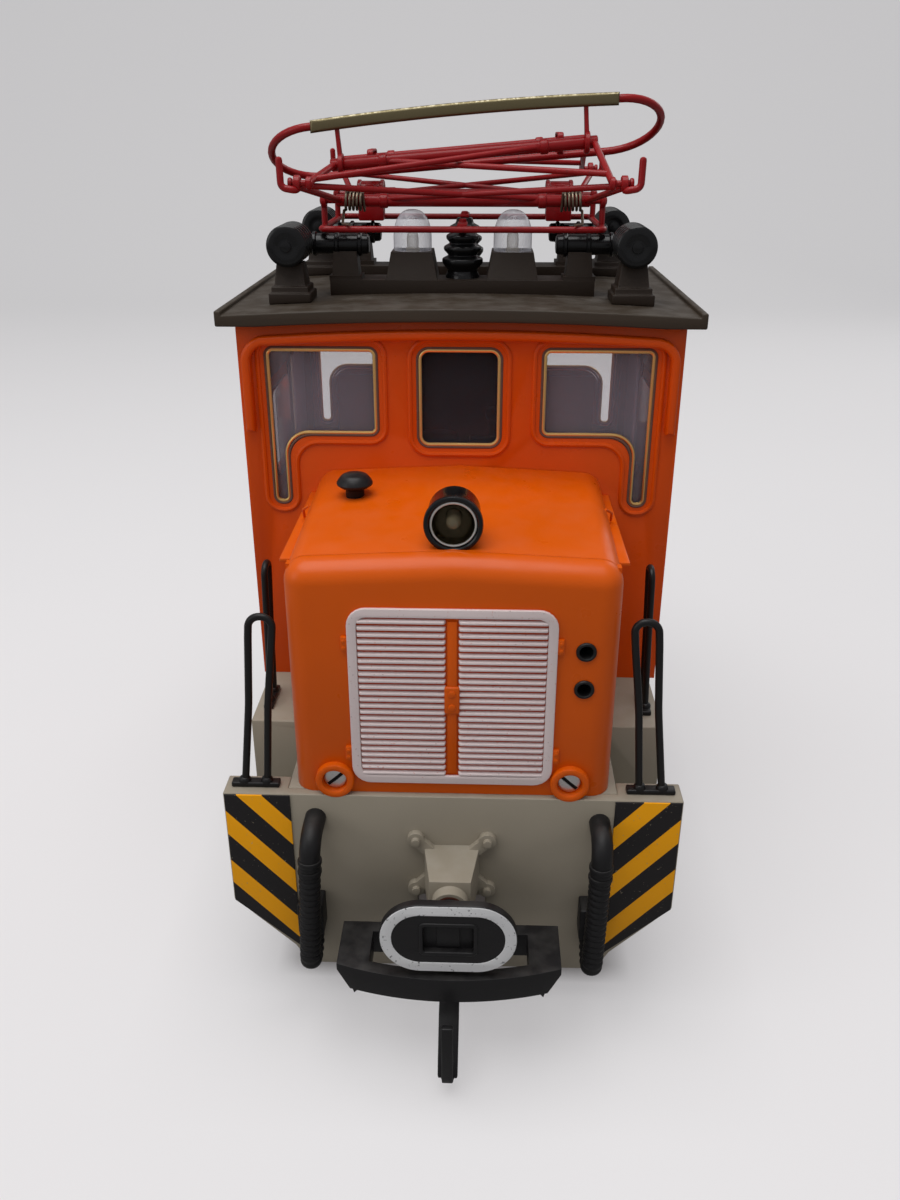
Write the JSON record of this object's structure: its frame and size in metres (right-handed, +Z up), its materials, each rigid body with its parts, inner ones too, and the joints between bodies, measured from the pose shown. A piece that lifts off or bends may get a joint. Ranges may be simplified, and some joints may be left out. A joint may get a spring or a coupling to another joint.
{
  "type": "model electric locomotive",
  "caption": "Garden-railway electric shunting locomotive with centre cab, two louvred hoods, roof pantograph, loop couplers and geared wheelsets.",
  "frame": {"origin": "midway between the axles, on the plane that the wheel flanges stand on", "axes": "+Z up, +Y towards the rear, -Y is the end with the front grille, +X to the right seen from the front"},
  "size_m": [0.1104, 0.2452, 0.1967],
  "materials": {
    "grey_body": "satin moulded plastic",
    "orange_body": "smooth moulded plastic",
    "grille_silver": "printed silver on moulded louvres",
    "screw_steel": "turned",
    "black_plastic": "satin",
    "lamp_chrome": "bright",
    "bulb_glass": "clear",
    "clear_glazing": "clear",
    "clear_dome": "clear",
    "stand_black": "satin",
    "roof_brown": "matte",
    "post_brown": "matte",
    "insulator_black": "glazed look",
    "pantograph_red": "gloss enamel",
    "spring_steel": "bright wire",
    "strip_brass": "tarnished",
    "handrail_black": "satin black",
    "hose_black": "matte",
    "buffer_black": "satin with a white painted ring",
    "wheel_metal": "plated",
    "axle_steel": "ground",
    "gear_nylon": "natural nylon",
    "motor_steel": "zinc plated",
    "winding_copper": "enamelled wire and laminations",
    "worm_brass": "turned",
    "block_black": "moulded",
    "wiper_bronze": "spring bronze",
    "board_green": "resin board",
    "ballast_iron": "rough cast"
  },
  "bodies": {
    "locomotive": {"chassis_frame": "grey_body", "headstock_front": "grey_body", "headstock_rear": "grey_body", "side_frames": "grey_body", "hood_front": "orange_body", "hood_rear": "orange_body", "grille_front": "grille_silver", "grille_rear": "grille_silver", "hood_screws": "screw_steel", "headlamp_housings": "black_plastic", "headlamp_reflectors": "lamp_chrome", "lamp_bulbs": "bulb_glass", "jack_sockets": "black_plastic", "filler_caps": "black_plastic", "cab_shell": "orange_body", "cab_glazing": "clear_glazing", "control_stand": "stand_black", "cab_roof": "roof_brown", "roof_bridges": "post_brown", "corner_pedestals": "post_brown", "roof_insulators": "insulator_black", "lead_in_insulators": "insulator_black", "warning_lamp_domes": "clear_dome", "pantograph_base": "pantograph_red", "pantograph_springs": "spring_steel", "end_handrails": "handrail_black", "deck_handrails": "handrail_black", "brake_hoses": "hose_black", "buffer_brackets": "grey_body", "underframe_screws": "screw_steel", "motor_can": "motor_steel", "motor_block": "block_black", "keeper_plate": "block_black", "pickup_wipers": "wiper_bronze", "circuit_board": "board_green", "ballast_weights": "ballast_iron"},
    "front_wheelset": {"wheels_front": "wheel_metal", "axle_front": "axle_steel", "worm_wheel_front": "gear_nylon"},
    "rear_wheelset": {"wheels_rear": "wheel_metal", "axle_rear": "axle_steel", "worm_wheel_rear": "gear_nylon"},
    "motor_shaft": {"armature": "winding_copper", "worms": "worm_brass"},
    "left_door": {"cab_door_left": "orange_body", "door_glass_left": "clear_glazing"},
    "right_door": {"cab_door_right": "orange_body", "door_glass_right": "clear_glazing"},
    "front_lower_arm": {"lower_arm_front": "pantograph_red"},
    "rear_lower_arm": {"lower_arm_rear": "pantograph_red"},
    "front_upper_arm": {"upper_arm_front": "pantograph_red"},
    "rear_upper_arm": {"upper_arm_rear": "pantograph_red"},
    "collector_head": {"pantograph_head": "pantograph_red", "wear_strip": "strip_brass"},
    "front_buffer": {"buffer_front": "buffer_black"},
    "rear_buffer": {"buffer_rear": "buffer_black"},
    "front_coupler": {"coupler_front": "black_plastic"},
    "rear_coupler": {"coupler_rear": "black_plastic"},
    "front_hook": {"hook_front": "black_plastic"},
    "rear_hook": {"hook_rear": "black_plastic"}
  },
  "joints": [
    {"name": "front_wheels_turn", "type": "hinge", "parent": "locomotive", "child": "front_wheelset", "pos_m": [0, -0.042, 0.018], "axis": [1, 0, 0], "continuous": true},
    {"name": "rear_wheels_turn", "type": "hinge", "parent": "locomotive", "child": "rear_wheelset", "pos_m": [0, 0.042, 0.018], "axis": [1, 0, 0], "continuous": true},
    {"name": "motor_turns", "type": "hinge", "parent": "locomotive", "child": "motor_shaft", "pos_m": [0, 0, 0.0295], "axis": [0, 1, 0], "continuous": true},
    {"name": "left_door_swing", "type": "hinge", "parent": "locomotive", "child": "left_door", "pos_m": [-0.0524, 0.013, 0.1], "axis": [0, 0, -1], "range_deg": [0, 80]},
    {"name": "right_door_swing", "type": "hinge", "parent": "locomotive", "child": "right_door", "pos_m": [0.0524, 0.013, 0.1], "axis": [0, 0, 1], "range_deg": [0, 80]},
    {"name": "pantograph_raise", "type": "hinge", "parent": "locomotive", "child": "front_lower_arm", "pos_m": [0, -0.012, 0.1735], "axis": [-1, 0, 0], "range_deg": [0, 45]},
    {"name": "rear_lower_arm_turn", "type": "hinge", "parent": "locomotive", "child": "rear_lower_arm", "pos_m": [0, 0.012, 0.1735], "axis": [1, 0, 0], "range_deg": [0, 45]},
    {"name": "front_elbow", "type": "hinge", "parent": "front_lower_arm", "child": "front_upper_arm", "pos_m": [0, -0.04002, 0.17869], "axis": [1, 0, 0], "range_deg": [0, 90]},
    {"name": "rear_elbow", "type": "hinge", "parent": "rear_lower_arm", "child": "rear_upper_arm", "pos_m": [0, 0.04002, 0.17869], "axis": [-1, 0, 0], "range_deg": [0, 90]},
    {"name": "head_level", "type": "hinge", "parent": "front_upper_arm", "child": "collector_head", "pos_m": [0, -0.012, 0.18389], "axis": [-0.9966, 0, -0.0819], "range_deg": [0, 45]},
    {"name": "front_buffer_press", "type": "slide", "parent": "locomotive", "child": "front_buffer", "axis": [0, 1, 0], "range_m": [0, 0.0025], "stiffness_N_per_m": 400, "springref_m": -0.001},
    {"name": "rear_buffer_press", "type": "slide", "parent": "locomotive", "child": "rear_buffer", "axis": [0, -1, 0], "range_m": [0, 0.0025], "stiffness_N_per_m": 400, "springref_m": -0.001},
    {"name": "front_coupler_swing", "type": "hinge", "parent": "locomotive", "child": "front_coupler", "pos_m": [0, -0.0805, 0.0267], "axis": [0, 0, 1], "range_deg": [-12, 12], "stiffness_Nm_per_rad": 0.003},
    {"name": "rear_coupler_swing", "type": "hinge", "parent": "locomotive", "child": "rear_coupler", "pos_m": [0, 0.0805, 0.0267], "axis": [0, 0, 1], "range_deg": [-12, 12], "stiffness_Nm_per_rad": 0.003},
    {"name": "front_hook_press", "type": "hinge", "parent": "front_coupler", "child": "front_hook", "pos_m": [0, -0.0965, 0.0211], "axis": [1, 0, 0], "range_deg": [0, 6], "stiffness_Nm_per_rad": 0.005, "springref_deg": -14.32},
    {"name": "rear_hook_press", "type": "hinge", "parent": "rear_coupler", "child": "rear_hook", "pos_m": [0, 0.0965, 0.0211], "axis": [-1, 0, 0], "range_deg": [0, 6], "stiffness_Nm_per_rad": 0.005, "springref_deg": -14.32}
  ],
  "couplings": [
    {"joint": "front_wheels_turn", "follows": "motor_turns", "ratio": 0.05},
    {"joint": "rear_wheels_turn", "follows": "motor_turns", "ratio": 0.05},
    {"joint": "rear_lower_arm_turn", "follows": "pantograph_raise", "ratio": 1},
    {"joint": "front_elbow", "follows": "pantograph_raise", "ratio": 2},
    {"joint": "rear_elbow", "follows": "pantograph_raise", "ratio": 2},
    {"joint": "head_level", "follows": "pantograph_raise", "ratio": 1}
  ]
}
